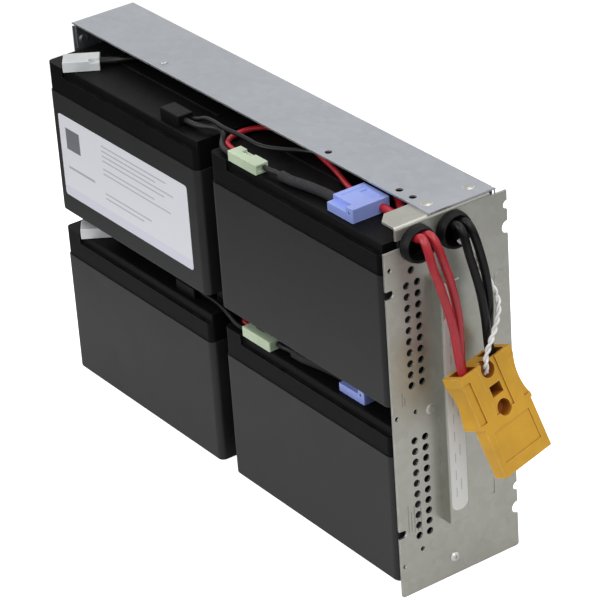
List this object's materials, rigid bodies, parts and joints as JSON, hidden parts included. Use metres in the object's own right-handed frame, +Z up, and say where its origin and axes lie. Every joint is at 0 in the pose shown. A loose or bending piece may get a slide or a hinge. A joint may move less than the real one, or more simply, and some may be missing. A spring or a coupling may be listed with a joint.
{
  "type": "ups battery cartridge",
  "caption": "Plug-in battery cartridge: sealed blocks wired in a shallow folded steel tray, with a punched end panel, a grip and leads to a moulded power connector.",
  "frame": {"origin": "under the middle of the cartridge, on the plane it stands on", "axes": "+X along the tray to the end panel with the leads, +Y from the open front of the blocks to the tray's back sheet, +Z up"},
  "size_m": [0.3818, 0.0789, 0.2176],
  "materials": {
    "amber_plastic": "satin",
    "black_boot_plastic": "satin",
    "black_insulation": "satin",
    "blue_plastic": "satin",
    "case_plastic": "matte",
    "contact_copper": "satin",
    "foam": "matte",
    "green_plastic": "satin",
    "grey_insulation": "satin",
    "grip_steel": "satin",
    "grommet_rubber": "matte",
    "lid_plastic": "matte",
    "red_insulation": "satin",
    "rivet_steel": "satin",
    "screw_steel": "satin",
    "spring_steel": "satin",
    "tinned_blade": "satin",
    "vent_plastic": "matte",
    "white_boot_plastic": "satin",
    "white_insulation": "satin",
    "woven_sleeve": "matte",
    "zinc_steel": "satin"
  },
  "bodies": {
    "root": {"back_pads": "foam", "black_lead_1": "black_insulation", "black_lead_2": "black_insulation", "black_lead_inside_1": "black_insulation", "black_lead_inside_2": "black_insulation", "column_spacers": "foam", "connector_contacts": "contact_copper", "connector_housing": "amber_plastic", "connector_springs": "spring_steel", "corner_rivets": "rivet_steel", "end_panel": "zinc_steel", "floor_pads": "foam", "grip": "grip_steel", "grommet_black": "grommet_rubber", "grommet_red": "grommet_rubber", "left_end_spacers": "foam", "lower_black_boot": "black_boot_plastic", "lower_blue_housing": "blue_plastic", "lower_bridge_wire": "black_insulation", "lower_left_case": "case_plastic", "lower_left_lid": "lid_plastic", "lower_left_terminals": "tinned_blade", "lower_left_vent_cover": "vent_plastic", "lower_link_housing": "green_plastic", "lower_link_wire": "grey_insulation", "lower_loop_wire": "red_insulation", "lower_right_case": "case_plastic", "lower_right_lid": "lid_plastic", "lower_right_terminals": "tinned_blade", "lower_right_vent_cover": "vent_plastic", "lower_sleeve": "woven_sleeve", "lower_white_boot": "white_boot_plastic", "panel_nut": "screw_steel", "panel_rivets": "rivet_steel", "panel_screw": "screw_steel", "red_lead_1": "red_insulation", "red_lead_2": "red_insulation", "red_lead_inside_1": "red_insulation", "red_lead_inside_2": "red_insulation", "right_end_pads": "foam", "row_spacers": "foam", "sense_pair": "white_insulation", "sense_wire_inside": "black_insulation", "tray": "zinc_steel", "upper_black_boot": "black_boot_plastic", "upper_blue_housing": "blue_plastic", "upper_bridge_wire": "black_insulation", "upper_left_case": "case_plastic", "upper_left_lid": "lid_plastic", "upper_left_terminals": "tinned_blade", "upper_left_vent_cover": "vent_plastic", "upper_link_housing": "green_plastic", "upper_link_wire": "grey_insulation", "upper_loop_wire": "red_insulation", "upper_right_case": "case_plastic", "upper_right_lid": "lid_plastic", "upper_right_terminals": "tinned_blade", "upper_right_vent_cover": "vent_plastic", "upper_sleeve": "woven_sleeve", "upper_white_boot": "white_boot_plastic"}
  },
  "joints": []
}
